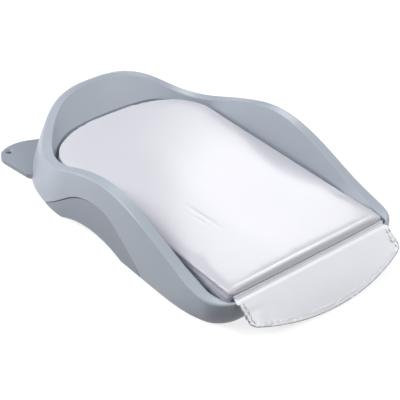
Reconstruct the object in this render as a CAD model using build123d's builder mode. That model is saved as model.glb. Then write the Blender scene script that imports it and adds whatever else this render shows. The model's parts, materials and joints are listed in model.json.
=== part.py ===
"""Table-top baby changing unit: a moulded tray with raised sides and head, a wipe-clean mattress and a film flap.

Millimetres. +Y points to the head end, +X to the right seen from the foot end, +Z up.
The origin lies on the standing surface, midway between the flap's edge and the tips of the two ears.
"""
from build123d import *
from math import cos, hypot, pi, radians, sin
import os

# Whole object, with lengths measured from the mattress's foot edge
head_reach = 786.0            # to the tips of the ears
flap_fold_reach = 13.0        # to the fold line of the flap, towards the foot
flap_length = 91.0            # from the fold to the flap's lowest point
flap_slope = 38.0             # degrees below level
standing_gap = 1.5            # tray's underside above the standing surface

flap_reach = flap_fold_reach + flap_length * cos(radians(flap_slope))
foot_y = -(head_reach - flap_reach) / 2

# Outer edge of the shell's rim, seen from above
rim_half_width = 240.0
rim_length = 744.0
rim_shoulder = 470.0          # where the sides begin to close in
rim_fullness = 2.35
rim_corner_radius = 65.0

# Height of the rim above the standing surface
head_height = 139.0
shoulder_height = 76.0
hump_height = 147.0
lip_height = 59.0
head_run = 250.0              # along the rim, from the head's centre to the low shoulder
head_run_fullness = 1.5
hump_place = 345.0
hump_head_run = 297.0
hump_foot_run = 345.0

# Section of the shell
shell_wall = 3.0
rim_width = 22.0
rim_head_width = 13.0
rim_head_drop = 9.0           # inner edge of the head's rim below its outer edge
rim_outer_round = 5.0
rim_inner_round = 2.0
rim_edge_land = 2.0           # least width of the slope between rim and pocket
outer_round_share = 0.42      # most of the rim's width that a rounding may take
inner_round_share = 0.2
head_flare = 34.0             # how far the skirt stands out beyond the rim at the head
side_flare = 7.0
foot_tuck = 19.0              # how far the skirt draws in under the lip at the foot
side_bulge = 3.0              # how far the skirt swells beyond a straight line
foot_bulge = 6.5
flare_run = 560.0
flare_fullness = 1.4
tuck_run = 190.0
head_pitch = 52.0             # from one section to the next along each stretch of the rim
side_pitch = 68.0
corner_pitch = 20.0
foot_pitch = 60.0
spare_stations = 3            # sections past the centre line, which keep the halves smooth where they meet

# Arch in each side of the skirt
arch_foot_place = 220.0
arch_head_place = 564.0
arch_peak_place = 362.0
arch_height = 91.0
arch_cut_inset = 14.0         # from the rim's outer edge inwards
arch_foot_shares = [(0.0, 0.0), (0.34, 0.52), (0.55, 0.74), (0.8, 0.95)]   # place from foot to peak, height
arch_head_shares = [(0.26, 0.935), (0.48, 0.74), (0.65, 0.485), (0.8, 0.26), (1.0, 0.0)]

# Mattress, and the pocket that it lies in
mattress_half_width = 202.0
mattress_length = 682.0
mattress_shoulder = 540.0     # where its sides begin to close in
mattress_fullness = 2.4
mattress_corner_radius = 12.0
mattress_top = 75.0
mattress_crown = 3.0
mattress_edge_round = 4.0
seat_height = 36.0
seam_height = 60.0
cover_thickness = 1.2
welt_width = 2.0
welt_thickness = 1.4
pocket_side_gap = 4.0
pocket_foot_gap = 1.5
pocket_edge_height = 72.0     # top of the pocket's upright wall
pocket_edge_drop = 20.0       # least depth of the pocket's upright wall below the rim
soft_clearance = 0.3

# Base tray
base_floor = 3.0
base_wall = 2.5
skirt_clearance = 1.5         # between the skirt's inner face and the base's side walls
panel_overlap = 9.0           # side wall's upper edge above the arch's edge
panel_gap = 3.0               # between the arch's edge and the panel that fills it
wall_margin = 200.0           # how far past the arch the side wall's sections go on, before it is cut
grip_foot_place = 290.0
grip_head_place = 492.0
grip_height = 19.0
grip_depth = 34.0
grip_wall = 2.5

# Ears of the base tray
ear_thickness = 12.0
ear_wall = 2.5
ear_root_place = 640.0
ear_root_half_width = 222.0
ear_flank_place = 664.0
ear_flank_half_width = 234.0
ear_corner_place = 740.0
ear_corner_half_width = 244.0
ear_tip_half_width = 192.0
ear_scallop_place = 768.0
ear_scallop_half_width = 134.0
ear_inner_place = 760.0
ear_inner_half_width = 80.0
ear_edge_chamfer = 1.0
ear_clearance = 0.5
fixing_hole_radius = 6.0
fixing_hole_chamfer = 4.0
fixing_hole_half_spacing = 217.0
fixing_hole_place = 764.0
fixing_boss_radius = 13.0

# Screws between base tray and shell
screw_places = [52.0, 232.0, 452.0, 612.0]
screw_half_spacing = 150.0
screw_radius = 2.0
screw_head_radius = 4.0
screw_head_height = 2.4
screw_length = 16.0
screw_hole_clearance = 0.3
boss_radius = 5.0
boss_foot_height = 9.0        # where the shell's boss sits on the base's boss
boss_floor = 2.5

# Rubber feet
foot_pad_radius = 11.0
foot_pad_height = 3.0
foot_pad_chamfer = 0.6
foot_pad_places = [(178.0, 40.0), (178.0, 392.0), (110.0, 700.0)]   # half spacing, place

# Ribs under the tray floor
rib_thickness = 2.0
rib_depth = 14.0
rib_places = [140.0, 342.0, 532.0]

# Film flap
film_thickness = 0.8
flap_half_width = 194.0
flap_side_length = 50.0
flap_corner_radius = 12.0
flap_hem_width = 6.0
flap_hem_thickness = 1.6
fold_bead_radius = 1.0
fold_clearance = 0.3

curve_steps = 6               # spans in the quarter of a rounded end
overrun = 10.0                # how far cutting shapes run past the faces that they cut
edge_match = 0.01             # tolerance for picking an edge by its radius

seat_floor_bottom = seat_height - shell_wall
rim_foot_y = foot_y - flap_fold_reach
mattress_bottom = seat_height + soft_clearance


def hump(distance, run, fullness=1.0):
    """Smooth rise from 0 at the given run to 1 at distance zero; a larger fullness flattens the top."""
    return cos(pi / 2 * min(abs(distance) / run, 1.0) ** fullness) ** 2


def head_curve(half_width, length, shoulder, fullness):
    """Points of the rounded head end, from its centre to the shoulder, as a quarter of a superellipse."""
    reach = length - shoulder
    points = []
    for step in range(curve_steps + 1):
        angle = pi / 2 * (1 - step / curve_steps)
        x = half_width * abs(cos(angle)) ** (2 / fullness)
        y = reach * abs(sin(angle)) ** (2 / fullness)
        points.append((x if step else 0.0, foot_y + shoulder + (y if step < curve_steps else 0.0)))
    return points


def seat_face(margin, foot_margin):
    """Right half of the mattress's outline, enlarged by a margin."""
    half_width = mattress_half_width + margin
    with BuildSketch() as face:
        with BuildLine():
            head = Spline(
                *head_curve(half_width, mattress_length + margin, mattress_shoulder, mattress_fullness),
                tangents=((1, 0), (0, -1)),
            )
            Polyline(head @ 1, (half_width, foot_y - foot_margin), (0, foot_y - foot_margin), head @ 0)
        make_face()
        corner = face.vertices().sort_by(Axis.Y)[:2].sort_by(Axis.X)[-1]
        fillet(corner, mattress_corner_radius + margin)
    return face.sketch


# Line of the rim's outer edge, right half, from the head's centre to the foot's centre
with BuildLine() as rim_line:
    rim_head = Spline(
        *head_curve(rim_half_width, rim_length, rim_shoulder, rim_fullness),
        tangents=((1, 0), (0, -1)),
    )
    rim_side = Line(rim_head @ 1, (rim_half_width, rim_foot_y + rim_corner_radius))
    rim_corner = RadiusArc(rim_side @ 1, (rim_half_width - rim_corner_radius, rim_foot_y), rim_corner_radius)
    rim_foot = Line(rim_corner @ 1, (0, rim_foot_y))

rim_wire = rim_line.wires()[0]
pocket_outline = seat_face(pocket_side_gap, pocket_foot_gap)


class Station:
    """One cross-section of the shell's wall, at a run along the rim's right half from the head's centre.

    The left side mirrors it, for the few sections that lie a little past the centre line.
    """

    def __init__(self, run, side=1):
        point = rim_wire.position_at(run / rim_wire.length)
        along = rim_wire.tangent_at(run / rim_wire.length)
        self.point = Vector(side * point.X, point.Y, 0)
        self.outward = Vector(-side * along.Y, along.X, 0)
        self.plane = Plane(origin=self.point, x_dir=self.outward, z_dir=(along.X, side * along.Y, 0))
        self.height = rim_height(run, point.Y)
        self.tucked = tucked_share(run)
        opened = side_flare + (head_flare - side_flare) * hump(run, flare_run, flare_fullness)
        self.flare = opened - (side_flare + foot_tuck) * self.tucked
        self.bulge = side_bulge + (foot_bulge - side_bulge) * self.tucked
        self.drop = rim_head_drop * hump(run, head_run)
        self.pocket = pocket_outline.distance_to(Vertex(point.X, point.Y, 0))
        nominal_width = rim_width - (rim_width - rim_head_width) * hump(run, head_run)
        self.width = min(nominal_width, self.pocket - rim_edge_land)
        self.inner_height = self.height - self.drop
        self.edge_height = min(pocket_edge_height, self.inner_height - pocket_edge_drop)
        self.slope = (self.inner_height - self.edge_height) / (self.pocket - self.width)

    def skirt_arc(self, low_inset, top_inset):
        """Foot, middle and top of the skirt's face in the section, drawn in at its foot and at its top."""
        low = standing_gap
        top = self.height - top_inset
        middle = (self.flare / 2 + self.bulge - (low_inset + top_inset) / 2, (low + top) / 2)
        return [(self.flare - low_inset, low), middle, (-top_inset, top)]


def rim_height(run, y):
    """Height of the rim: a high head, low shoulders, a hump on each side and a low lip at the foot."""
    head = (head_height - shoulder_height) * hump(run, head_run, head_run_fullness)
    past_hump = y - foot_y - hump_place
    if past_hump > 0:
        return shoulder_height + head + (hump_height - shoulder_height) * hump(past_hump, hump_head_run)
    return lip_height + (hump_height - lip_height) * hump(past_hump, hump_foot_run)


def tucked_share(run):
    """0 along the sides and head, rising to 1 round the foot corner."""
    corner_start = rim_head.length + rim_side.length - tuck_run / 2
    return 1 - hump(max(run - corner_start, 0.0), tuck_run)


def station_runs():
    """Runs of the stations: an even pitch on each stretch of the rim, and a finer one round the corner."""
    runs = [0.0]
    head_and_side = ((rim_head, head_pitch), (rim_side, side_pitch))
    for stretch, pitch in head_and_side + ((rim_corner, corner_pitch), (rim_foot, foot_pitch)):
        count = round(stretch.length / pitch)
        start = runs[-1]
        runs += [start + stretch.length * step / count for step in range(1, count + 1)]
    return runs


rim_stations = [Station(run) for run in station_runs()]
spare_head = [Station(run, side=-1) for run in station_runs()[1:spare_stations + 1]]
spare_foot = [Station(run, side=-1) for run in station_runs()[-1 - spare_stations:-1]]
loft_stations = spare_head[::-1] + rim_stations + spare_foot[::-1]


def nearest(sketch, corner):
    """The sketch's vertex that lies nearest to a corner."""
    return min(sketch.vertices(), key=lambda vertex: hypot(vertex.X - corner[0], vertex.Y - corner[1]))


def wall_section(station):
    """Cross-section of the wall: skirt, rim, slope and pocket wall, with their inner faces."""
    side_shift = shell_wall * hypot(station.slope, 1) / station.slope
    inner_rim = side_shift - shell_wall / station.slope - station.width
    outer_skirt = station.skirt_arc(0, 0)
    inner_skirt = station.skirt_arc(shell_wall, shell_wall)
    outer_edge = (-station.width, station.inner_height)
    inner_edge = (inner_rim, station.inner_height - shell_wall)
    with BuildSketch(station.plane) as section:
        with BuildLine():
            ThreePointArc(*outer_skirt)
            Polyline(
                outer_skirt[2],
                outer_edge,
                (-station.pocket, station.edge_height),
                (-station.pocket, seat_floor_bottom),
                (shell_wall - station.pocket, seat_floor_bottom),
                (shell_wall - station.pocket, station.edge_height + station.slope * (shell_wall - side_shift)),
                inner_edge,
                inner_skirt[2],
            )
            ThreePointArc(*reversed(inner_skirt))
            Line(inner_skirt[0], outer_skirt[0])
        make_face()
        land = outer_skirt[2][0] - outer_edge[0]
        fillet(nearest(section, outer_skirt[2]), min(rim_outer_round, outer_round_share * land))
        fillet(nearest(section, outer_edge), min(rim_inner_round, inner_round_share * land))
    return section.sketch


def wall_loft():
    """Right half of the shell's wall: a loft that runs past the centre line at both ends, then cut there."""
    with BuildPart() as wall:
        loft(sections=[wall_section(station).faces()[0] for station in loft_stations])
        split(bisect_by=Plane.YZ, keep=Keep.TOP)
    return wall.part


def arch_face(margin):
    """The side arch in side view, with its edge raised by a margin."""
    peak = (foot_y + arch_peak_place, arch_height + margin)
    foot_run = arch_peak_place - arch_foot_place
    head_run_length = arch_head_place - arch_peak_place
    points = [
        (foot_y + arch_foot_place - margin + share * (foot_run + margin), height * (arch_height + margin))
        for share, height in arch_foot_shares
    ]
    points.append(peak)
    points += [
        (peak[0] + share * (head_run_length + margin), height * (arch_height + margin))
        for share, height in arch_head_shares
    ]
    with BuildSketch() as face:
        with BuildLine():
            edge = Spline(*points)
            Polyline(edge @ 1, (points[-1][0], -overrun), (points[0][0], -overrun), edge @ 0)
        make_face()
    return face.sketch


def ear_face(margin):
    """Right ear seen from above, with its root under the shell, enlarged by a margin."""
    with BuildSketch() as face:
        with BuildLine():
            flank = Line(
                (ear_flank_half_width + margin, foot_y + ear_flank_place - margin),
                (ear_corner_half_width + margin, foot_y + ear_corner_place),
            )
            corner = Spline(
                flank @ 1,
                (ear_tip_half_width, foot_y + head_reach + margin),
                tangents=(flank % 1, (-1, 0)),
            )
            scallop = Spline(
                corner @ 1,
                (ear_scallop_half_width, foot_y + ear_scallop_place + margin),
                (ear_inner_half_width, foot_y + ear_inner_place + margin),
                tangents=(corner % 1, (-1, 0)),
            )
            Polyline(
                scallop @ 1,
                (ear_inner_half_width, foot_y + ear_root_place),
                (ear_root_half_width, foot_y + ear_root_place),
                flank @ 0,
            )
        make_face()
    return face.sketch


def skirt_face(inset):
    """Right half of the outline of the skirt's lower edge, drawn in by an inset."""
    places = [station.point + station.outward * (station.flare - inset) for station in rim_stations]
    points = [(place.X, place.Y) for place in places]
    with BuildSketch() as face:
        with BuildLine():
            outline = Spline(*points)
            Line(outline @ 1, outline @ 0)
        make_face()
    return face.sketch


def screw_points():
    return [(screw_half_spacing, foot_y + place) for place in screw_places]


def foot_pad_points():
    return [(half_spacing, foot_y + place) for half_spacing, place in foot_pad_places]


def panel_section(station, low_inset, top_inset):
    """Band inside the skirt, from its foot up to the rim, drawn in at its foot and at its top."""
    outer = station.skirt_arc(low_inset, top_inset)
    inner = station.skirt_arc(shell_wall + skirt_clearance + base_wall, shell_wall + skirt_clearance + base_wall)
    with BuildSketch(station.plane) as section:
        with BuildLine():
            ThreePointArc(*outer)
            Line(outer[2], inner[2])
            ThreePointArc(*reversed(inner))
            Line(inner[0], outer[0])
        make_face()
    return section.sketch


def grip_face(margin, depth):
    """The finger grip's low arch in side view, enlarged by a margin and run down by a depth."""
    start = (foot_y + grip_foot_place - margin, standing_gap)
    middle = (foot_y + (grip_foot_place + grip_head_place) / 2, standing_gap + grip_height + margin)
    end = (foot_y + grip_head_place + margin, standing_gap)
    with BuildSketch() as face:
        with BuildLine():
            ThreePointArc(start, middle, end)
            if depth:
                Polyline(end, (end[0], end[1] - depth), (start[0], start[1] - depth), start)
            else:
                Line(end, start)
        make_face()
    return face.sketch


def mattress_form(inset):
    """Right half of the mattress, drawn in all round by an inset."""
    top = mattress_top - inset
    low = mattress_bottom + inset
    edge = (mattress_half_width, top)
    with BuildPart() as form:
        with BuildSketch(Plane.XY.offset(low)):
            add(seat_face(-inset, -inset))
        extrude(amount=top + mattress_crown - low)
        with BuildSketch(Plane.XZ):
            with BuildLine():
                ThreePointArc((-edge[0], top), (0, top + mattress_crown), edge)
                Polyline(edge, (edge[0], low), (-edge[0], low), (-edge[0], top))
            make_face()
        extrude(amount=mattress_length + head_reach, both=True, mode=Mode.INTERSECT)
        rim = form.faces().sort_by(Axis.Z)[-1].edges().filter_by(lambda side: side.center().X > overrun)
        fillet(rim, mattress_edge_round - inset)
    return form.part


def flap_face(margin):
    """Outline of the flap in its own plane, drawn in at the sides and the lower edge by a margin."""
    half_width = flap_half_width - margin
    side = flap_side_length - margin
    with BuildSketch() as face:
        with BuildLine():
            Line((-half_width, 0), (-half_width, side))
            ThreePointArc((-half_width, side), (0, flap_length - margin), (half_width, side))
            Polyline((half_width, side), (half_width, 0), (-half_width, 0))
        make_face()
        corners = face.vertices().filter_by(lambda vertex: vertex.Y > side / 2)
        fillet(corners, flap_corner_radius - margin)
    return face.sketch


grip_inner_x = rim_half_width - grip_depth
screw_seat = boss_foot_height - boss_floor
strip_bottom = lip_height + soft_clearance
fold_y = foot_y - flap_fold_reach
fold_z = strip_bottom + film_thickness / 2
flap_plane = Plane(
    origin=(0, fold_y, fold_z),
    x_dir=(1, 0, 0),
    z_dir=(0, sin(radians(flap_slope)), -cos(radians(flap_slope))),
)
hem_start = fold_bead_radius + fold_clearance


# Ribs and screw bosses under the shell's floor, right half
with BuildPart() as shell_ribs:
    for place in rib_places:
        with BuildSketch(Plane.XZ.offset(-foot_y - place)):
            with Locations((0, seat_floor_bottom - rib_depth)):
                Rectangle(mattress_half_width, rib_depth, align=(Align.MIN, Align.MIN))
        extrude(amount=rib_thickness / 2, both=True)
    with BuildSketch(Plane.XY.offset(boss_foot_height)):
        with Locations(*screw_points()):
            Circle(boss_radius)
    extrude(amount=seat_floor_bottom - boss_foot_height)
    with BuildSketch(Plane.XY.offset(boss_foot_height)):
        with Locations(*screw_points()):
            Circle(screw_radius)
    extrude(amount=screw_length, mode=Mode.SUBTRACT)

# Shell: rim, skirt, arches and mattress pocket in one moulding
with BuildPart() as upper_shell:
    add(wall_loft())
    with BuildSketch(Plane.XY.offset(seat_floor_bottom)):
        add(seat_face(pocket_side_gap + shell_wall / 2, pocket_foot_gap + shell_wall / 2))
    extrude(amount=shell_wall)
    with BuildSketch(Plane.YZ.offset(rim_half_width - arch_cut_inset)):
        add(arch_face(0))
    extrude(amount=rim_half_width, mode=Mode.SUBTRACT)
    with BuildSketch():
        add(ear_face(ear_clearance))
    extrude(amount=standing_gap + ear_thickness + ear_clearance, mode=Mode.SUBTRACT)
    add(shell_ribs.part)
    mirror(about=Plane.YZ)

# Side wall of the base tray behind the arch, right half
wall_stations = [
    station for station in rim_stations
    if arch_foot_place - wall_margin < station.point.Y - foot_y < arch_head_place + wall_margin
]
wall_inset = shell_wall + skirt_clearance
with BuildPart() as side_wall:
    loft(sections=[panel_section(station, wall_inset, wall_inset).faces()[0] for station in wall_stations])
    with BuildSketch(Plane.YZ):
        add(arch_face(panel_overlap))
    extrude(amount=2 * rim_half_width, mode=Mode.INTERSECT)

# Panel that stands out of the side wall, to fill the arch down to the tray's edge, right half
with BuildPart() as side_panel:
    loft(sections=[panel_section(station, 0, wall_inset).faces()[0] for station in wall_stations])
    with BuildSketch(Plane.YZ):
        add(arch_face(-panel_gap))
    extrude(amount=2 * rim_half_width, mode=Mode.INTERSECT)

# Vault over the finger grip, right half
with BuildPart() as grip_vault:
    with BuildSketch(Plane.YZ.offset(grip_inner_x - grip_wall)):
        add(grip_face(grip_wall, 0))
    extrude(amount=rim_half_width)
    with BuildSketch():
        add(skirt_face(shell_wall + skirt_clearance + base_wall / 2))
    extrude(amount=hump_height, mode=Mode.INTERSECT)

# Ear with its fixing hole, right half
with BuildPart() as ear:
    with BuildSketch(Plane.XY.offset(standing_gap)):
        add(ear_face(0))
    extrude(amount=ear_thickness)
    ear_edges = ear.edges().group_by(Axis.Z)[-1]
    chamfer(ear_edges.filter_by(lambda edge: edge.center().Y > foot_y + ear_flank_place), ear_edge_chamfer)
    with BuildSketch(Plane.XY.offset(standing_gap)):
        add(ear_face(-ear_wall))
    extrude(amount=ear_thickness - ear_wall, mode=Mode.SUBTRACT)
    with BuildSketch(Plane.XY.offset(standing_gap)):
        with Locations((fixing_hole_half_spacing, foot_y + fixing_hole_place)):
            Circle(fixing_boss_radius)
    extrude(amount=ear_thickness)
    with BuildSketch(Plane.XY.offset(standing_gap)):
        with Locations((fixing_hole_half_spacing, foot_y + fixing_hole_place)):
            Circle(fixing_hole_radius)
    extrude(amount=ear_thickness, mode=Mode.SUBTRACT)
    hole_edges = ear.edges().filter_by(GeomType.CIRCLE)
    rims = hole_edges.filter_by(lambda edge: abs(edge.radius - fixing_hole_radius) < edge_match)
    chamfer(rims.sort_by(Axis.Z)[-1], fixing_hole_chamfer)

# Base tray: floor, side walls, finger grips and ears
with BuildPart() as base_tray:
    with BuildSketch(Plane.XY.offset(standing_gap)):
        add(skirt_face(shell_wall + skirt_clearance))
    extrude(amount=base_floor)
    add(side_wall.part)
    add(side_panel.part)
    add(grip_vault.part)
    add(ear.part)
    with BuildSketch(Plane.YZ.offset(grip_inner_x)):
        add(grip_face(0, overrun))
    extrude(amount=rim_half_width, mode=Mode.SUBTRACT)
    with BuildSketch(Plane.XY.offset(standing_gap)):
        with Locations(*screw_points()):
            Circle(boss_radius + base_wall)
    extrude(amount=boss_foot_height - standing_gap)
    with BuildSketch(Plane.XY.offset(standing_gap)):
        with Locations(*screw_points()):
            Circle(screw_head_radius + screw_hole_clearance)
    extrude(amount=screw_seat - standing_gap, mode=Mode.SUBTRACT)
    with BuildSketch(Plane.XY.offset(screw_seat)):
        with Locations(*screw_points()):
            Circle(screw_radius + screw_hole_clearance)
    extrude(amount=boss_foot_height - screw_seat, mode=Mode.SUBTRACT)
    with BuildSketch(Plane.XY.offset(standing_gap)):
        with Locations(*foot_pad_points()):
            Circle(foot_pad_radius)
    extrude(amount=foot_pad_height - standing_gap, mode=Mode.SUBTRACT)
    mirror(about=Plane.YZ)

# Screws that hold the base tray to the shell
with BuildPart() as base_screws:
    with BuildSketch(Plane.XY.offset(screw_seat)):
        with Locations(*screw_points()):
            Circle(screw_head_radius)
    extrude(amount=-screw_head_height)
    with BuildSketch(Plane.XY.offset(screw_seat)):
        with Locations(*screw_points()):
            Circle(screw_radius)
    extrude(amount=screw_length)
    mirror(about=Plane.YZ)

# Rubber feet in their recesses
with BuildPart() as rubber_feet:
    with BuildSketch():
        with Locations(*foot_pad_points()):
            Circle(foot_pad_radius)
    extrude(amount=foot_pad_height)
    chamfer(rubber_feet.edges().group_by(Axis.Z)[0], foot_pad_chamfer)
    mirror(about=Plane.YZ)

# Mattress: foam core, upper cover, lower cover and the welt sewn between the two covers
with BuildPart() as mattress_core:
    add(mattress_form(cover_thickness))
    mirror(about=Plane.YZ)

with BuildPart() as mattress_cover_top:
    add(mattress_form(0))
    with BuildSketch(Plane.XY.offset(seam_height)):
        add(seat_face(overrun, overrun))
    extrude(amount=-seam_height, mode=Mode.SUBTRACT)
    add(mattress_form(cover_thickness), mode=Mode.SUBTRACT)
    mirror(about=Plane.YZ)

with BuildPart() as mattress_cover_base:
    add(mattress_form(0))
    with BuildSketch(Plane.XY.offset(seam_height)):
        add(seat_face(overrun, overrun))
    extrude(amount=hump_height, mode=Mode.SUBTRACT)
    add(mattress_form(cover_thickness), mode=Mode.SUBTRACT)
    mirror(about=Plane.YZ)

with BuildPart() as cover_welt:
    with BuildSketch(Plane.XY.offset(seam_height - welt_thickness / 2)):
        add(seat_face(welt_width, welt_width))
        add(seat_face(0, 0), mode=Mode.SUBTRACT)
    extrude(amount=welt_thickness)
    mirror(about=Plane.YZ)

# Film flap: the strip sewn into the welt, the hanging film and its welded hem
with BuildPart() as flap_strip:
    with BuildSketch(Plane.XY.offset(strip_bottom)):
        with Locations((0, foot_y - welt_width)):
            Rectangle(
                2 * flap_half_width,
                flap_fold_reach - welt_width - fold_bead_radius - fold_clearance,
                align=(Align.CENTER, Align.MAX),
            )
    extrude(amount=film_thickness)

with BuildPart() as flap_film:
    with BuildSketch(flap_plane):
        add(flap_face(flap_hem_width))
    extrude(amount=film_thickness / 2, both=True)
    with BuildSketch(Plane.YZ):
        with Locations((fold_y, fold_z)):
            Circle(fold_bead_radius)
    extrude(amount=flap_half_width, both=True)

with BuildPart() as flap_hem:
    with BuildSketch(flap_plane):
        add(flap_face(0))
        add(flap_face(flap_hem_width), mode=Mode.SUBTRACT)
        with Locations((0, 0)):
            Rectangle(2 * rim_half_width, 2 * hem_start, mode=Mode.SUBTRACT)
    extrude(amount=flap_hem_thickness / 2, both=True)

os.makedirs("parts", exist_ok=True)

upper_shell.part.label = "upper_shell"
export_step(upper_shell.part, "parts/upper_shell.step")

base_tray.part.label = "base_tray"
export_step(base_tray.part, "parts/base_tray.step")

base_screws.part.label = "base_screws"
export_step(base_screws.part, "parts/base_screws.step")

rubber_feet.part.label = "rubber_feet"
export_step(rubber_feet.part, "parts/rubber_feet.step")

mattress_core.part.label = "mattress_core"
export_step(mattress_core.part, "parts/mattress_core.step")

mattress_cover_top.part.label = "mattress_cover_top"
export_step(mattress_cover_top.part, "parts/mattress_cover_top.step")

mattress_cover_base.part.label = "mattress_cover_base"
export_step(mattress_cover_base.part, "parts/mattress_cover_base.step")

cover_welt.part.label = "cover_welt"
export_step(cover_welt.part, "parts/cover_welt.step")

flap_strip.part.label = "flap_strip"
export_step(flap_strip.part, "parts/flap_strip.step")

flap_film.part.label = "flap_film"
export_step(flap_film.part, "parts/flap_film.step")

flap_hem.part.label = "flap_hem"
export_step(flap_hem.part, "parts/flap_hem.step")
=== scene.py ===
"""Looks of a table-top baby changing tray: moulded shell, wipe-clean mattress and film flap."""
import json
import math

import bmesh
import bpy
from mathutils import Euler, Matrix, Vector, noise


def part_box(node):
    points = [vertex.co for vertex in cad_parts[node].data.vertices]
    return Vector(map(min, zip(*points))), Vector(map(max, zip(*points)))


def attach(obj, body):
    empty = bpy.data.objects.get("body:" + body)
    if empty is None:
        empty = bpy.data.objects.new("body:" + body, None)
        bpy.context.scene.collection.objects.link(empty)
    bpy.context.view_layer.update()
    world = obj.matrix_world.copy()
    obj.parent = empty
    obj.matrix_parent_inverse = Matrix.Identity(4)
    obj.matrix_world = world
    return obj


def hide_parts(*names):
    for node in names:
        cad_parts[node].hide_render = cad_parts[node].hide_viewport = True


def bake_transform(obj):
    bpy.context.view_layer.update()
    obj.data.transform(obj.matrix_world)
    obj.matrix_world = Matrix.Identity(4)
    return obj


bl_info = {
    "name": "Baby changing tray",
    "version": (1, 0, 0),
    "blender": (4, 5, 0),
    "location": "3D View > Sidebar > Changing tray",
    "description": "Dresses the changing tray with its mattress, film flap, finishes and stage",
    "category": "Object",
}

MM = 0.001
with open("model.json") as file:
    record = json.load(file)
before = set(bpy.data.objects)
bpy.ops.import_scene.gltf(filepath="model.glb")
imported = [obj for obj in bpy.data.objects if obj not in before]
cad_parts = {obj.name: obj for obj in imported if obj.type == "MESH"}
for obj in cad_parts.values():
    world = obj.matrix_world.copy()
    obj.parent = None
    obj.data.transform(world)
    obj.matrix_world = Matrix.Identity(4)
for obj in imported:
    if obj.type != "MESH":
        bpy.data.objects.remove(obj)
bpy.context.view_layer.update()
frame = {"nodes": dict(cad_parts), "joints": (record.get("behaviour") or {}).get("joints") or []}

core_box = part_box("mattress_core")
cover_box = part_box("mattress_cover_base")
welt_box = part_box("cover_welt")
fold_joint = next(joint for joint in frame["joints"] if joint["name"] == "flap_fold")
fold_line = Vector(fold_joint["pos_m"])
mattress_half_width = cover_box[1].x
mattress_foot = cover_box[0].y


# Sizes and colours that a user would change

class MattressSizes(bpy.types.PropertyGroup):
    """Sizes of the mattress and its seam."""

    voxel: bpy.props.FloatProperty(
        name="Remesh size", description="Size of the mesh's cells before it is inflated",
        default=5.5 * MM, unit="LENGTH",
    )
    puff: bpy.props.FloatProperty(
        name="Puff", description="Most that the cover swells beyond its cut shape",
        default=3.0 * MM, unit="LENGTH",
    )
    welt_radius: bpy.props.FloatProperty(
        name="Welt radius", description="Radius of the welt between the two covers",
        default=0.8 * MM, unit="LENGTH",
    )
    stitch_pitch: bpy.props.FloatProperty(
        name="Stitch pitch", description="Distance from one stitch to the next",
        default=6.0 * MM, unit="LENGTH",
    )


class FlapSizes(bpy.types.PropertyGroup):
    """Sizes of the film flap."""

    thickness: bpy.props.FloatProperty(
        name="Film thickness", description="Thickness of the film", default=0.7 * MM, unit="LENGTH",
    )
    hem_width: bpy.props.FloatProperty(
        name="Hem width", description="Width of the welded hem", default=12.0 * MM, unit="LENGTH",
    )
    ripple: bpy.props.FloatProperty(
        name="Ripple", description="Height of the film's ripples", default=1.2 * MM, unit="LENGTH",
    )


class Finishes(bpy.types.PropertyGroup):
    """Colours of the tray's materials."""

    shell: bpy.props.StringProperty(
        name="Shell colour", description="Moulded shell, as an sRGB hex value", default="AFB7C2",
    )
    # The base is the same plastic as the shell; its colour is set darker than the shell's as painted shade
    # for the recessed side panels under the arches.
    base: bpy.props.StringProperty(
        name="Base colour", description="Base tray, as an sRGB hex value", default="989FAA",
    )
    cover: bpy.props.StringProperty(
        name="Cover colour", description="Coated cover, as an sRGB hex value", default="D3D3DB",
    )
    film: bpy.props.StringProperty(
        name="Film colour", description="Film of the flap, as an sRGB hex value", default="F6F8FF",
    )
    film_edge: bpy.props.StringProperty(
        name="Film edge colour", description="Cut edge of the film, as an sRGB hex value", default="A3A3AB",
    )


class StageSettings(bpy.types.PropertyGroup):
    """Camera and light of the photograph's view."""

    lens: bpy.props.FloatProperty(
        name="Lens", description="Focal length for a 36 mm wide sensor", default=109.35, unit="CAMERA",
    )
    key_power: bpy.props.FloatProperty(
        name="Key light", description="Power of the large soft light behind the left",
        default=52.0, unit="POWER",
    )
    sky: bpy.props.FloatProperty(
        name="Surrounding light", description="Strength of the even light from all round", default=0.04,
    )


# Mesh helpers

def link(mesh, name):
    """A new object for a mesh, at the origin."""
    made = bpy.data.objects.new(name, mesh)
    bpy.context.scene.collection.objects.link(made)
    return made


def from_bmesh(shape, name):
    """Turns a bmesh into an object and frees it."""
    mesh = bpy.data.meshes.new(name)
    shape.to_mesh(mesh)
    shape.free()
    return link(mesh, name)


def merged_copy(node_name, name):
    """Copy of a CAD node's mesh with its loose triangles joined."""
    mesh = frame["nodes"][node_name].data.copy()
    shape = bmesh.new()
    shape.from_mesh(mesh)
    bmesh.ops.remove_doubles(shape, verts=shape.verts, dist=0.01 * MM)
    bmesh.ops.recalc_face_normals(shape, faces=shape.faces)
    bpy.data.meshes.remove(mesh)
    return from_bmesh(shape, name)


def apply_modifiers(piece):
    """Replaces the piece's mesh with its evaluated one and clears the modifiers."""
    graph = bpy.context.evaluated_depsgraph_get()
    mesh = bpy.data.meshes.new_from_object(piece.evaluated_get(graph))
    piece.modifiers.clear()
    piece.data = mesh


def smooth(piece, angle=None):
    """Shades a piece smooth, with edges sharper than an angle left crisp."""
    piece.data.shade_smooth()
    if angle is not None:
        piece.data.set_sharp_from_angle(angle=math.radians(angle))


def smoothstep(low, high, value):
    """0 below low, 1 above high, with a smooth rise between."""
    t = min(max((value - low) / (high - low), 0.0), 1.0)
    return t * t * (3 - 2 * t)


# Material helpers

def linear(hex_colour):
    """sRGB hex value as a linear colour with full alpha."""
    channels = [int(hex_colour[i:i + 2], 16) / 255 for i in (0, 2, 4)]
    return [c / 12.92 if c <= 0.04045 else ((c + 0.055) / 1.055) ** 2.4 for c in channels] + [1.0]


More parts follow.
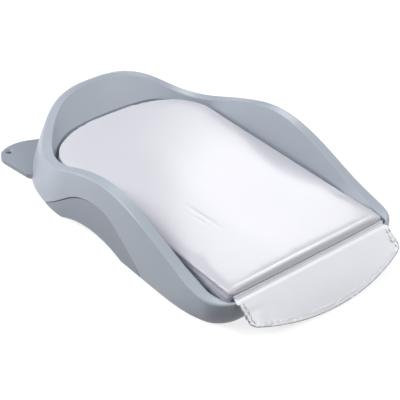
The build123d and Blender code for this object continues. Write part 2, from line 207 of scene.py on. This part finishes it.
def add_node(tree, kind, settings=None, values=None, links=None):
    """Adds a node, sets its properties and socket values, and links its inputs."""
    made = tree.nodes.new(kind)
    for key, value in (settings or {}).items():
        setattr(made, key, value)
    for key, value in (values or {}).items():
        made.inputs[key].default_value = value
    for key, source in (links or {}).items():
        tree.links.new(source, made.inputs[key])
    return made


def new_material(name):
    """An empty node material, its node tree, and the Object coordinates that its patterns read."""
    material = bpy.data.materials.new(name)
    material.use_nodes = True
    tree = material.node_tree
    tree.nodes.clear()
    return material, tree, add_node(tree, "ShaderNodeTexCoord").outputs["Object"]


def pattern(tree, place, size, detail, roughness=0.5):
    """A cloudy pattern whose marks are about a given size in metres."""
    return add_node(
        tree, "ShaderNodeTexNoise",
        values={"Scale": 1 / size, "Detail": detail, "Roughness": roughness}, links={"Vector": place},
    ).outputs["Fac"]


def mottled(tree, marks, colour, darkest, lightest=1.0):
    """A colour that wanders with a pattern between two shares of its own lightness."""
    tone = add_node(tree, "ShaderNodeMix", {"data_type": "RGBA"}, links={"Factor": marks})
    base = linear(colour)[:3]
    tone.inputs["A"].default_value = [c * darkest for c in base] + [1.0]
    tone.inputs["B"].default_value = [min(c * lightest, 1.0) for c in base] + [1.0]
    return tone.outputs["Result"]


def relief(tree, marks, strength, depth, below=None):
    """The surface's direction with a pattern raised on it, over another relief if one is given."""
    links = {"Height": marks}
    if below is not None:
        links["Normal"] = below
    bump = add_node(tree, "ShaderNodeBump", values={"Strength": strength, "Distance": depth}, links=links)
    return bump.outputs["Normal"]


def wandering(tree, marks, lowest, highest):
    """A number that wanders between two values with a pattern's middle range."""
    return add_node(
        tree, "ShaderNodeMapRange",
        values={"From Min": 0.3, "From Max": 0.7, "To Min": lowest, "To Max": highest},
        links={"Value": marks},
    ).outputs["Result"]


def surfaced(tree, tone, normal, values, rough=None):
    """Ends a material with a surface of a tone, a relief and fixed values."""
    links = {"Base Color": tone, "Normal": normal}
    if rough is not None:
        links["Roughness"] = rough
    surface = add_node(tree, "ShaderNodeBsdfPrincipled", values=values, links=links)
    add_node(tree, "ShaderNodeOutputMaterial", links={"Surface": surface.outputs["BSDF"]})


def moulded_plastic(name, colour, roughness, grain_size, grain_depth):
    """Injection-moulded polypropylene: an even satin colour, with a fine spark-eroded grain."""
    material, tree, place = new_material(name)
    clouds = pattern(tree, place, size=1 / 6, detail=2.0)
    grain = pattern(tree, place, size=grain_size, detail=3.0, roughness=0.6)
    surfaced(
        tree,
        mottled(tree, clouds, colour, darkest=0.965, lightest=1.035),
        relief(tree, grain, strength=0.35, depth=grain_depth),
        {"IOR": 1.49},
        wandering(tree, clouds, lowest=roughness - 0.05, highest=roughness + 0.05),
    )
    return material


def coated_cover(name, colour):
    """Polyurethane-coated jersey: a soft gloss over a faint knit, smooth enough to wipe clean."""
    material, tree, place = new_material(name)
    clouds = pattern(tree, place, size=200 * MM, detail=2.0)
    knit = pattern(tree, place, size=1.6 * MM, detail=2.0)
    swell = pattern(tree, place, size=60 * MM, detail=1.0)
    knitted = relief(tree, knit, strength=0.12, depth=0.15 * MM)
    surfaced(
        tree,
        mottled(tree, clouds, colour, darkest=0.97),
        relief(tree, swell, strength=0.25, depth=1.2 * MM, below=knitted),
        {"IOR": 1.46, "Sheen Weight": 0.05},
        wandering(tree, clouds, lowest=0.2, highest=0.25),
    )
    return material


def frosted_film(name, colour, roughness):
    """Frosted polyethylene film: pale, glossy and slightly milky, with faint draw lines."""
    material, tree, place = new_material(name)
    clouds = pattern(tree, place, size=1 / 14, detail=2.0)
    drawn = add_node(tree, "ShaderNodeMapping", values={"Scale": (1.0, 0.12, 0.12)}, links={"Vector": place})
    lines = pattern(tree, drawn.outputs["Vector"], size=7 * MM, detail=2.0)
    surfaced(
        tree,
        mottled(tree, clouds, colour, darkest=0.96),
        relief(tree, lines, strength=0.2, depth=0.3 * MM),
        {"IOR": 1.5, "Roughness": roughness},
    )
    return material


def plain_finish(name, colour, roughness, metallic, spot_size):
    """Zinc plating, moulded rubber, sewing thread and foam: a mottled colour with a fine surface."""
    material, tree, place = new_material(name)
    spots = pattern(tree, place, size=spot_size, detail=3.0)
    surfaced(
        tree,
        mottled(tree, spots, colour, darkest=0.85),
        relief(tree, spots, strength=0.4, depth=0.1 * MM),
        {"Roughness": roughness, "Metallic": metallic},
    )
    return material


def finish_with(piece, material):
    """Gives a piece one material."""
    piece.data.materials.clear()
    piece.data.materials.append(material)


def dress_node(node_name, material):
    """Gives a CAD node a new material in each of its slots."""
    for slot in frame["nodes"][node_name].material_slots:
        slot.link = "OBJECT"
        slot.material = material


# Mouldings and small parts that keep their CAD shape

class TRAY_OT_mouldings(bpy.types.Operator):
    """Finishes the shell and the base tray as moulded plastic"""
    bl_idname = "changing_tray.mouldings"
    bl_label = "Mouldings"

    def execute(self, context):
        colours = context.scene.changing_finishes
        shell = moulded_plastic(
            "satin_polypropylene_shell", colours.shell,
            roughness=0.34, grain_size=0.9 * MM, grain_depth=0.05 * MM,
        )
        # Same plastic as the shell, but darker in colour: painted shade for the base's recessed side panels.
        base = moulded_plastic(
            "grained_polypropylene_base_with_painted_shade", colours.base,
            roughness=0.42, grain_size=0.7 * MM, grain_depth=0.08 * MM,
        )
        dress_node("upper_shell", shell)
        dress_node("base_tray", base)
        return {"FINISHED"}


class TRAY_OT_fixings(bpy.types.Operator):
    """Finishes the screws and the rubber feet"""
    bl_idname = "changing_tray.fixings"
    bl_label = "Screws and feet"

    def execute(self, context):
        steel = plain_finish(
            "zinc_plated_steel", "A9ABAE", roughness=0.3, metallic=1.0, spot_size=0.8 * MM,
        )
        rubber = plain_finish("moulded_rubber", "8C8E93", roughness=0.8, metallic=0.0, spot_size=1.2 * MM)
        dress_node("base_screws", steel)
        dress_node("rubber_feet", rubber)
        return {"FINISHED"}


# Mattress

cover_pressure = 4.0
cloth_steps = 20
pocket_slack = 1.2 * MM
foam_inset_mm = 1.2
foam_face_share = 0.12

# Each crease in the mattress's top: its two ends, its depth and its width
top_creases = (
    (Vector((-0.092, -0.062)), Vector((-0.084, -0.190)), 0.55 * MM, 3.5 * MM),
    (Vector((-0.106, -0.098)), Vector((-0.097, -0.172)), 0.35 * MM, 3.0 * MM),
    (Vector((-0.060, -0.210)), Vector((0.110, -0.190)), 1.8 * MM, 60 * MM),
)


def inflate(piece, pressure, limit):
    """Swells a closed cover as cloth under pressure, with each point's move capped."""
    rest = [vertex.co.copy() for vertex in piece.data.vertices]
    cloth = piece.modifiers.new("inflate", "CLOTH")
    cloth.settings.use_pressure = True
    cloth.settings.uniform_pressure_force = pressure
    cloth.settings.effector_weights.gravity = 0.0
    cloth.settings.tension_stiffness = 20.0
    cloth.settings.compression_stiffness = 20.0
    cloth.settings.bending_stiffness = 0.8
    cloth.collision_settings.use_collision = False
    scene = bpy.context.scene
    for step in range(cloth_steps):
        scene.frame_set(step + 1)
    apply_modifiers(piece)
    scene.frame_set(1)
    for vertex, start in zip(piece.data.vertices, rest):
        move = vertex.co - start
        if move.length > limit:
            vertex.co = start + move * (limit / move.length)


def settle_in_pocket(piece):
    """Flattens the mattress on the pocket's floor, draws its sides in and keeps it inside the pocket."""
    low, high = core_box
    floor = cover_box[0].z
    middle = (low.z + high.z) / 2
    waist_depth, side_band = 1.5 * MM, 14 * MM
    widest = mattress_half_width + pocket_slack
    for vertex in piece.data.vertices:
        co = vertex.co
        side = smoothstep(mattress_half_width - side_band, mattress_half_width, abs(co.x))
        along = smoothstep(-330 * MM, -200 * MM, co.y) * (1 - smoothstep(100 * MM, 300 * MM, co.y))
        waist = 1 - min(abs(co.z - middle) / (middle - low.z), 1.0) ** 2
        co.x -= math.copysign(waist_depth * side * along * waist, co.x)
        co.x = max(min(co.x, widest), -widest)
        co.y = max(co.y, mattress_foot)
        co.z = max(co.z, floor)


def heights_by_foot(piece, column, nearest, farthest):
    """Height of the mattress's top a little way in from the foot, in columns outwards from its middle."""
    top_band = 6 * MM
    heights = {}
    for vertex in piece.data.vertices:
        co = vertex.co
        if nearest < co.y - mattress_foot < farthest and co.z > core_box[1].z - top_band:
            place = int(abs(co.x) / column)
            heights[place] = max(heights.get(place, co.z), co.z)
    return heights


def tighten_foot_edge(piece):
    """Draws the cover tight over the foam's foot edge, so that the top meets a sloping front crisply."""
    reach, column = 18 * MM, 10 * MM
    edge_run, edge_drop = 9 * MM / reach, 11 * MM / reach
    fade_start, fade_end = mattress_half_width - 20 * MM, mattress_half_width - 4 * MM
    heights = heights_by_foot(piece, column, reach, reach + 6 * MM)
    last = max(heights)
    for vertex in piece.data.vertices:
        co = vertex.co
        steps = max(abs(co.x) / column - 0.5, 0.0)
        place = min(int(steps), last)
        share = min(steps - place, 1.0)
        top = heights[place] * (1 - share) + heights[min(place + 1, last)] * share
        across = 1 - (co.y - mattress_foot) / reach
        up = 1 - (top - co.z) / reach
        if across <= 0 or up <= 0:
            continue
        bevel = (edge_drop * (1 - edge_run) + edge_run) / (edge_drop * across + edge_run * up)
        push = min(bevel, 1 / max(across, up)) - 1
        push *= smoothstep(0.0, 0.3, up) * smoothstep(0.0, 0.15, across)
        push *= 1 - smoothstep(fade_start, fade_end, abs(co.x))
        co.y -= reach * across * push
        co.z += reach * up * push


def crease_depth(co, start, end, depth, width):
    """Depth of a crease below a point of the top, which fades towards both of its ends."""
    run = end - start
    share = min(max((co.xy - start).dot(run) / run.length_squared, 0.0), 1.0)
    off = (co.xy - start - run * share).length
    fade = math.sin(math.pi * min(max(share, 0.02), 0.98))
    return depth * fade * math.exp(-(off / width) ** 2)


def crease_cover(piece):
    """Presses the soft marks of use into the top, and small puckers into the side by the foot corners."""
    top = core_box[1].z - 4 * MM
    swell_height, swell_margin = 1.2 * MM, 40 * MM
    pucker_depth, pucker_rise = 1.9 * MM, 0.5 * MM
    pucker_reach, pucker_top, side_skin = 160 * MM, top + 2.5 * MM, 7 * MM
    for vertex in piece.data.vertices:
        co = vertex.co
        if co.z > top:
            swell = noise.noise(Vector((co.x * 7, co.y * 4, 1.7)))
            inside = 1 - smoothstep(mattress_half_width - swell_margin, mattress_half_width, abs(co.x))
            co.z += swell_height * swell * inside
            for crease in top_creases:
                co.z -= crease_depth(co, *crease)
        near_foot = 1 - smoothstep(0.0, pucker_reach, co.y - mattress_foot)
        on_side = abs(co.x) > mattress_half_width - side_skin and co.z < pucker_top
        if on_side and near_foot > 0:
            slant = co.y * 70 + co.z * 55
            pucker = noise.noise(Vector((slant, co.z * 130, 4.2)))
            pucker += 0.5 * noise.noise(Vector((slant * 2.3, co.z * 60, 9.1)))
            co.x += math.copysign((pucker_depth * pucker + pucker_rise) * near_foot, co.x)


def make_cover(sizes):
    """The closed cover over the foam, swollen a little, settled in the pocket and creased."""
    cover = merged_copy("mattress_core", "changing_mattress")
    remesh = cover.modifiers.new("even cells", "REMESH")
    remesh.mode = "VOXEL"
    remesh.voxel_size = sizes.voxel
    apply_modifiers(cover)
    inflate(cover, cover_pressure, sizes.puff)
    settle_in_pocket(cover)
    finer = cover.modifiers.new("smooth", "SUBSURF")
    finer.levels = 1
    finer.render_levels = 1
    apply_modifiers(cover)
    tighten_foot_edge(cover)
    crease_cover(cover)
    smooth(cover)
    return cover


def make_foam(cover):
    """The foam core just inside the cover, with fewer faces because the cover hides it."""
    foam = cover.copy()
    foam.data = cover.data.copy()
    foam.name = "foam_core"
    foam.parent = None
    bpy.context.scene.collection.objects.link(foam)
    shape = bmesh.new()
    shape.from_mesh(foam.data)
    for vertex in shape.verts:
        vertex.co -= vertex.normal * foam_inset_mm * MM
    shape.to_mesh(foam.data)
    shape.free()
    thin = foam.modifiers.new("fewer faces", "DECIMATE")
    thin.ratio = foam_face_share
    apply_modifiers(foam)
    smooth(foam)
    return foam


class TRAY_OT_mattress(bpy.types.Operator):
    """Makes the foam mattress in its coated cover, inflated a little and settled in the pocket"""
    bl_idname = "changing_tray.mattress"
    bl_label = "Mattress"

    def execute(self, context):
        sizes = context.scene.changing_mattress
        colours = context.scene.changing_finishes
        cover = make_cover(sizes)
        finish_with(cover, coated_cover("coated_jersey_cover", colours.cover))
        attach(cover, "mattress")
        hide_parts("mattress_cover_top", "mattress_cover_base")

        foam = make_foam(cover)
        finish_with(foam, plain_finish(
            "polyurethane_foam", "E9E3CF", roughness=0.9, metallic=0.0, spot_size=1.5 * MM,
        ))
        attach(foam, "mattress")
        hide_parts("mattress_core")
        return {"FINISHED"}


def outline_at(piece, height):
    """The closed loop of points where a level plane cuts a piece, in order."""
    shape = bmesh.new()
    shape.from_mesh(piece.data)
    geometry = shape.verts[:] + shape.edges[:] + shape.faces[:]
    bmesh.ops.bisect_plane(
        shape, geom=geometry, dist=0.001 * MM, plane_co=(0, 0, height), plane_no=(0, 0, 1),
        clear_inner=True, clear_outer=True,
    )
    start = shape.verts[:][0]
    points, seen, current = [], set(), start
    while current is not None:
        seen.add(current)
        points.append(current.co.copy())
        ahead = [edge.other_vert(current) for edge in current.link_edges]
        current = next((vertex for vertex in ahead if vertex not in seen), None)
    shape.free()
    return points


def tube(name, points, radius):
    """A round cord through the points of a closed loop, as a mesh."""
    curve = bpy.data.curves.new(name, "CURVE")
    curve.dimensions = "3D"
    curve.bevel_depth = radius
    curve.bevel_resolution = 2
    spline = curve.splines.new("POLY")
    spline.points.add(len(points) - 1)
    for target, point in zip(spline.points, points):
        target.co = (*point, 1.0)
    spline.use_cyclic_u = True
    shaped = link(curve, name)
    graph = bpy.context.evaluated_depsgraph_get()
    mesh = bpy.data.meshes.new_from_object(shaped.evaluated_get(graph))
    bpy.data.objects.remove(shaped)
    return link(mesh, name)


def walk(points, pitch):
    """Places and directions at an even pitch along a closed loop."""
    places, carried = [], 0.0
    for here, ahead in zip(points, points[1:] + points[:1]):
        run = ahead - here
        length = run.length
        while carried < length:
            places.append((here + run * (carried / length), run.normalized()))
            carried += pitch
        carried -= length
    return places


class TRAY_OT_seam(bpy.types.Operator):
    """Sews the welt between the two covers and the row of stitches above it"""
    bl_idname = "changing_tray.seam"
    bl_label = "Welt and stitches"

    def execute(self, context):
        sizes = context.scene.changing_mattress
        colours = context.scene.changing_finishes
        cover = bpy.data.objects["changing_mattress"]
        height = (welt_box[0].z + welt_box[1].z) / 2
        welt = tube("cover_welt_cord", outline_at(cover, height), sizes.welt_radius)
        smooth(welt)
        finish_with(welt, coated_cover("coated_jersey_welt", colours.cover))
        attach(welt, "mattress")
        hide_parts("cover_welt")

        seam_rise = 9.0 * MM
        stitch_length, thread_radius = 3.8 * MM, 0.6 * MM
        stitches = bmesh.new()
        for place, direction in walk(outline_at(cover, height + seam_rise), sizes.stitch_pitch):
            made = bmesh.ops.create_cone(
                stitches, cap_ends=True, segments=6, radius1=thread_radius, radius2=thread_radius,
                depth=stitch_length,
            )
            turn = direction.to_track_quat("Z", "Y").to_matrix().to_4x4()
            bmesh.ops.transform(stitches, matrix=turn, verts=made["verts"])
            bmesh.ops.translate(stitches, vec=place, verts=made["verts"])
        thread = from_bmesh(stitches, "gusset_stitches")
        smooth(thread, 40)
        finish_with(thread, plain_finish(
            "polyester_thread", "4C4C58", roughness=0.7, metallic=0.0, spot_size=0.4 * MM,
        ))
        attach(thread, "mattress")
        return {"FINISHED"}


# Film flap

# Lengths measured along the film from its fold over the lip
strip_run = 19.0 * MM
side_run = 50.0 * MM
deepest_run = 91.0 * MM
corner_run = 12.0 * MM
hem_top_run = 3.0 * MM
face_turn_start, face_turn_end = -16.5 * MM, -8.5 * MM
fold_half_run = 3.5 * MM
hang_start, hang_end = 10 * MM, 90 * MM
profile_step = 0.25 * MM

# Slopes of the film in degrees below level, towards the foot
face_slope = 88.0
lip_slope = 3.0
slope_start = 37.0
slope_end = 39.5

# Width of the film, and how far its welded sides waver and flare
film_half_width = 194.0 * MM
weld_band = 14 * MM
weld_shrinking = 2.8 * MM
fold_flare = 3.5 * MM

# Welded hem: its darker cut edge, and the line along the weld's inner side
hem_thickness = 0.9 * MM
cut_width = 0.9 * MM
side_cut_width = 1.1 * MM
weld_line_place = 8.5 * MM
weld_line_waver = 2.4 * MM
weld_line_half_width = 0.8 * MM


def flap_run(x):
    """Length of the flap from the fold to its lower edge, at a place across it."""
    across = abs(x) / film_half_width
    arc = side_run + (deepest_run - side_run) * (1 - across ** 2.1)
    to_side = film_half_width - abs(x)
    if to_side < corner_run:
        arc -= corner_run - math.sqrt(max(corner_run ** 2 - (corner_run - to_side) ** 2, 0.0))
    return arc


def heading(run):
    """Direction of the film at a run from the fold, in degrees below level, towards the foot."""
    down_face = face_slope * (1 - smoothstep(face_turn_start, face_turn_end, run))
    over_fold = (slope_start - lip_slope) * smoothstep(-fold_half_run, fold_half_run, run)
    hang = (slope_end - slope_start) * smoothstep(hang_start, hang_end, run)
    return lip_slope + down_face + over_fold + hang


def film_profile():
    """Places of the film's middle line, from its top on the mattress's face to the flap's edge."""
    forward, back = [], []
    for sign, reach, places in ((1, deepest_run, forward), (-1, strip_run, back)):
        y, z, run = fold_line.y, fold_line.z, 0.0
        while run < reach + profile_step:
            places.append((sign * run, y, z))
            angle = math.radians(heading(sign * (run + profile_step / 2)))
            y -= sign * profile_step * math.cos(angle)
            z -= sign * profile_step * math.sin(angle)
            run += profile_step
    return back[:0:-1] + forward


profile = film_profile()


def hem_waver(x, run):
    """Uneven shrinking of the weld along the film's two sides."""
    side = math.copysign(2.0, x)
    return noise.noise(Vector((run * 90, side, 5.5))) + 0.6 * noise.noise(Vector((run * 210, side, 1.5)))


def film_point(x, run, lift=0.0):
    """Place of the film at a place across it and a run from the fold, with its ripples."""
    index = min(max(int((run - profile[0][0]) / profile_step), 0), len(profile) - 2)
    first, second = profile[index], profile[index + 1]
    share = (run - first[0]) / (second[0] - first[0])
    y = first[1] + share * (second[1] - first[1])
    z = first[2] + share * (second[2] - first[2])
    angle = math.radians(heading(run))
    outward = Vector((0, -math.sin(angle), math.cos(angle)))
    by_edge = smoothstep(film_half_width - weld_band, film_half_width, abs(x))
    by_side = smoothstep(120 * MM, film_half_width, abs(x))
    shrinking = weld_shrinking * hem_waver(x, run) * smoothstep(1 * MM, 8 * MM, run)
    flare = fold_flare * math.exp(-((run + 1 * MM) / (4 * MM)) ** 2)
    x += math.copysign((shrinking + flare) * by_edge, x)
    broad = noise.noise(Vector((x * 9, run * 9, 3.1))) * smoothstep(2 * MM, 45 * MM, run)
    fine = noise.noise(Vector((x * 45, run * 60, 8.4))) * by_side * smoothstep(2 * MM, 14 * MM, run)
    ripple = 0.9 * bpy.context.scene.changing_flap.ripple
    return Vector((x, y, z)) + outward * (lift + ripple * (broad + fine))


def film_grid(name, columns, rows, mapped):
    """A grid whose two directions run from 0 to 1, with each point put where a function says."""
    grid = bmesh.new()
    bmesh.ops.create_grid(grid, x_segments=columns, y_segments=rows, size=0.5)
    for vertex in grid.verts:
        vertex.co = mapped(vertex.co.x + 0.5, vertex.co.y + 0.5)
    return from_bmesh(grid, name)


def film_place(co):
    """Place across the film and run from the fold that lie nearest to a point."""
    run = min(profile, key=lambda place: (place[1] - co.y) ** 2 + (place[2] - co.z) ** 2)[0]
    return co.x, run


def is_dark_on_hem(point):
    """Whether a point of the hem lies on the film's cut edge, or on the weld's inner line at its sides."""
    x, run = film_place(point)
    to_side = film_half_width - abs(x)
    if flap_run(x) - run < cut_width or to_side < side_cut_width:
        return True
    line = weld_line_place + weld_line_waver * hem_waver(-x, run)
    return abs(to_side - line) < weld_line_half_width and run < side_run - 4 * MM


def across_film(share):
    """Place across the film, with columns set closer together near its sides."""
    widest_turn = math.pi / 2 * 0.999
    return film_half_width * math.sin((2 * share - 1) * widest_turn) / math.sin(widest_turn)


def hem_outline():
    """Places and runs along the flap's left, lower and right side, and the length up to each."""
    side_steps, columns = 40, 400
    straight = side_run - corner_run - hem_top_run
    left = [(-film_half_width, hem_top_run + straight * step / side_steps) for step in range(side_steps)]
    right = [(film_half_width, run) for _, run in left[::-1]]
    lower = [across_film(step / columns) for step in range(columns + 1)]
    edge = left + [(x, flap_run(x)) for x in lower] + right
    lengths = [0.0]
    for (x0, run0), (x1, run1) in zip(edge, edge[1:]):
        lengths.append(lengths[-1] + math.hypot(x1 - x0, run1 - run0))
    return edge, lengths


def place_on_outline(edge, lengths, share):
    """Place on the flap's outline at a share of its length, and the direction inwards."""
    length = share * lengths[-1]
    ahead = next((index for index, reached in enumerate(lengths) if reached >= length), 1)
    index = min(max(ahead, 1), len(edge) - 1)
    (x0, run0), (x1, run1) = edge[index - 1], edge[index]
    span = max(lengths[index] - lengths[index - 1], 1e-9)
    part = (length - lengths[index - 1]) / span
    along = Vector((x1 - x0, run1 - run0)).normalized()
    return Vector((x0 + part * (x1 - x0), run0 + part * (run1 - run0))), Vector((along.y, -along.x))


def thicken(piece, thickness, offset):
    """Gives a sheet its thickness."""
    thickening = piece.modifiers.new("thickness", "SOLIDIFY")
    thickening.thickness = thickness
    thickening.offset = offset
    apply_modifiers(piece)


def make_film(thickness):
    """The film from its sewn strip over the fold to its lower edge."""
    def on_film(across, along):
        x = across_film(across)
        return film_point(x, -strip_run + along * (strip_run + flap_run(x)))

    film = film_grid("film_flap", columns=120, rows=70, mapped=on_film)
    thicken(film, thickness, 0.0)
    smooth(film, 50)
    return film


def make_hem(hem_width):
    """The welded hem along three sides of the flap, thickest and most wrinkled at the left and right."""
    edge, lengths = hem_outline()
    overhang = 0.03
    film_lift, ridge_lift, side_ridge_lift = 0.35, 0.45, 2.4
    ridge_low, ridge_rise, wrinkle_rate = 0.35, 0.75, 130

    def on_hem(share, width):
        place, inward = place_on_outline(edge, lengths, share)
        spot = place + inward * (width - overhang) * hem_width
        ridge = ridge_low + ridge_rise * math.sin(width * math.pi * 2.0) ** 2
        wrinkle = 0.5 + noise.noise(Vector((spot.x * wrinkle_rate, spot.y * wrinkle_rate, 2.0)))
        by_side = smoothstep(film_half_width - 16 * MM, film_half_width - 6 * MM, abs(spot.x))
        raised = (ridge_lift + side_ridge_lift * by_side) * ridge * wrinkle
        return film_point(spot.x, spot.y, (film_lift + raised) * MM)

    hem = film_grid("welded_hem", columns=700, rows=8, mapped=on_hem)
    thicken(hem, hem_thickness, -1.0)
    smooth(hem, 60)
    return hem


def film_area():
    """Flat area of the film, added up from narrow strips that run down it."""
    strips = 388
    strip_width = 2 * film_half_width / strips
    places = [film_half_width * (2 * (step + 0.5) / strips - 1) for step in range(strips)]
    return sum((strip_run + flap_run(x)) * strip_width for x in places)


class TRAY_OT_flap(bpy.types.Operator):
    """Hangs the film flap from the mattress's front face over the shell's lip"""
    bl_idname = "changing_tray.flap"
    bl_label = "Film flap"

    def execute(self, context):
        sizes = context.scene.changing_flap
        colours = context.scene.changing_finishes

        film = make_film(sizes.thickness)
        finish_with(film, frosted_film("frosted_polyethylene_film", colours.film, roughness=0.28))
        hem = make_hem(sizes.hem_width)
        finish_with(hem, frosted_film("welded_polyethylene_hem", colours.film, roughness=0.16))
        cut_edge = frosted_film("cut_polyethylene_edge", colours.film_edge, roughness=0.3)
        hem.data.materials.append(cut_edge)
        for face in hem.data.polygons:
            face.material_index = int(is_dark_on_hem(face.center))

        for piece, node in ((film, "flap_film"), (hem, "flap_hem")):
            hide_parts(node)
        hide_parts("flap_strip")
        for piece in (film, hem):
            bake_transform(piece)
        film_area()
        return {"FINISHED"}


# Stage

aim = Vector((0.0, 0.05, 0.05))
lamp_distance = 2.6

# Softer lights round the key light: turn and height in degrees, width in metres, power in watts
softboxes = (
    ("low_side_light", 122, 13, 1.2, 9.0),
    ("top_softbox", 0, 89, 1.2, 5.5),
    ("front_fill", 290, 52, 1.2, 22.0),
    ("right_fill", 330, 30, 1.2, 14.0),
    ("sheen_panel", 42, 38, 0.9, 14.0),
)
camera_place = (-1.3224, -1.66875, 1.4960)
camera_tilt, camera_turn = 55.1, -38.5
sensor_width = 36.0


def seen_by(tree, *kinds):
    """1 where a ray of one of some kinds arrives, and 0 for all other rays."""
    rays = add_node(tree, "ShaderNodeLightPath").outputs
    seen = rays[kinds[0]]
    for kind in kinds[1:]:
        either = add_node(tree, "ShaderNodeMath", {"operation": "MAXIMUM"}, links={0: seen, 1: rays[kind]})
        seen = either.outputs[0]
    return seen


def floor_paper():
    """Matt white paper whose shadow shows near the tray, and which fades into the background far from it."""
    material, tree, place = new_material("studio_floor_paper")
    seen = seen_by(tree, "Is Camera Ray", "Is Glossy Ray", "Is Transmission Ray")
    paper = add_node(tree, "ShaderNodeBsdfDiffuse", values={"Color": linear("9A9A9C")})
    from_tray = add_node(tree, "ShaderNodeVectorMath", {"operation": "LENGTH"}, links={0: place})
    fading = add_node(
        tree, "ShaderNodeMapRange", {"interpolation_type": "SMOOTHSTEP"},
        values={"From Min": 0.7, "From Max": 1.8, "To Min": 0.8, "To Max": 1.0},
        links={"Value": from_tray.outputs["Value"]},
    )
    glow_strength = add_node(
        tree, "ShaderNodeMath", {"operation": "MULTIPLY"}, links={0: seen, 1: fading.outputs["Result"]},
    )
    glow = add_node(tree, "ShaderNodeEmission", links={"Strength": glow_strength.outputs[0]})
    both = add_node(
        tree, "ShaderNodeAddShader", links={0: paper.outputs["BSDF"], 1: glow.outputs["Emission"]},
    )
    add_node(tree, "ShaderNodeOutputMaterial", links={"Surface": both.outputs["Shader"]})
    return material


def add_floor():
    """A wide level floor, just below the tray's feet."""
    floor_reach, floor_gap = 6.0, 0.2 * MM
    shape = bmesh.new()
    bmesh.ops.create_grid(shape, x_segments=1, y_segments=1, size=floor_reach)
    bmesh.ops.translate(shape, vec=(0, 0, -floor_gap), verts=shape.verts)
    floor = from_bmesh(shape, "studio_floor")
    finish_with(floor, floor_paper())


def add_surroundings(sky_strength):
    """A white background with only a faint light of its own on the tray."""
    world = bpy.data.worlds.new("studio")
    bpy.context.scene.world = world
    world.use_nodes = True
    tree = world.node_tree
    tree.nodes.clear()
    strength = add_node(
        tree, "ShaderNodeMapRange", values={"To Min": sky_strength, "To Max": 1.0},
        links={"Value": seen_by(tree, "Is Camera Ray", "Is Transmission Ray")},
    )
    back = add_node(
        tree, "ShaderNodeBackground", values={"Color": (1, 1, 1, 1)},
        links={"Strength": strength.outputs["Result"]},
    )
    add_node(tree, "ShaderNodeOutputWorld", links={"Surface": back.outputs["Background"]})


def add_softbox(name, turn, lift, size, power):
    """A square soft light that faces the tray from a turn and a height, both in degrees."""
    lamp = bpy.data.lights.new(name, "AREA")
    lamp.shape = "SQUARE"
    lamp.size = size
    lamp.energy = power
    softbox = link(lamp, name)
    direction = Vector((math.cos(math.radians(lift)), 0.0, math.sin(math.radians(lift))))
    direction.rotate(Euler((0.0, 0.0, math.radians(turn))))
    softbox.location = aim + direction * lamp_distance
    softbox.rotation_euler = (-direction).to_track_quat("-Z", "Y").to_euler()


def add_camera(lens):
    """The camera of the photograph's view."""
    camera = bpy.data.cameras.new("photograph_view")
    camera.lens = lens
    camera.sensor_width = sensor_width
    viewer = link(camera, "photograph_view")
    viewer.location = camera_place
    viewer.rotation_euler = Euler((math.radians(camera_tilt), 0.0, math.radians(camera_turn)))
    bpy.context.scene.camera = viewer


class TRAY_OT_stage(bpy.types.Operator):
    """Sets the floor, the soft light and the camera of the photograph's view"""
    bl_idname = "changing_tray.stage"
    bl_label = "Stage"

    def execute(self, context):
        settings = context.scene.changing_stage
        add_floor()
        add_surroundings(settings.sky)
        add_softbox("key_softbox", turn=152, lift=43, size=1.2, power=settings.key_power)
        for softbox in softboxes:
            add_softbox(*softbox)
        add_camera(settings.lens)
        context.scene.view_settings.view_transform = "Standard"
        return {"FINISHED"}


# Sidebar

class TRAY_PT_panel(bpy.types.Panel):
    """Lists the steps that dress the changing tray"""
    bl_label = "Changing tray"
    bl_space_type = "VIEW_3D"
    bl_region_type = "UI"
    bl_category = "Changing tray"

    def draw(self, context):
        for operator in operators:
            self.layout.operator(operator.bl_idname)


operators = (
    TRAY_OT_mouldings, TRAY_OT_fixings, TRAY_OT_mattress, TRAY_OT_seam, TRAY_OT_flap, TRAY_OT_stage,
)
groups = {
    "changing_mattress": MattressSizes,
    "changing_flap": FlapSizes,
    "changing_finishes": Finishes,
    "changing_stage": StageSettings,
}


def register():
    for group in groups.values():
        bpy.utils.register_class(group)
    for operator in operators + (TRAY_PT_panel,):
        bpy.utils.register_class(operator)
    for name, group in groups.items():
        setattr(bpy.types.Scene, name, bpy.props.PointerProperty(type=group))


def unregister():
    for name in groups:
        delattr(bpy.types.Scene, name)
    for operator in operators + (TRAY_PT_panel,):
        bpy.utils.unregister_class(operator)
    for group in groups.values():
        bpy.utils.unregister_class(group)


def main():
    register()
    bpy.ops.changing_tray.mouldings()
    bpy.ops.changing_tray.fixings()
    bpy.ops.changing_tray.mattress()
    bpy.ops.changing_tray.seam()
    bpy.ops.changing_tray.flap()
    bpy.ops.changing_tray.stage()


if __name__ == "__main__":
    main()
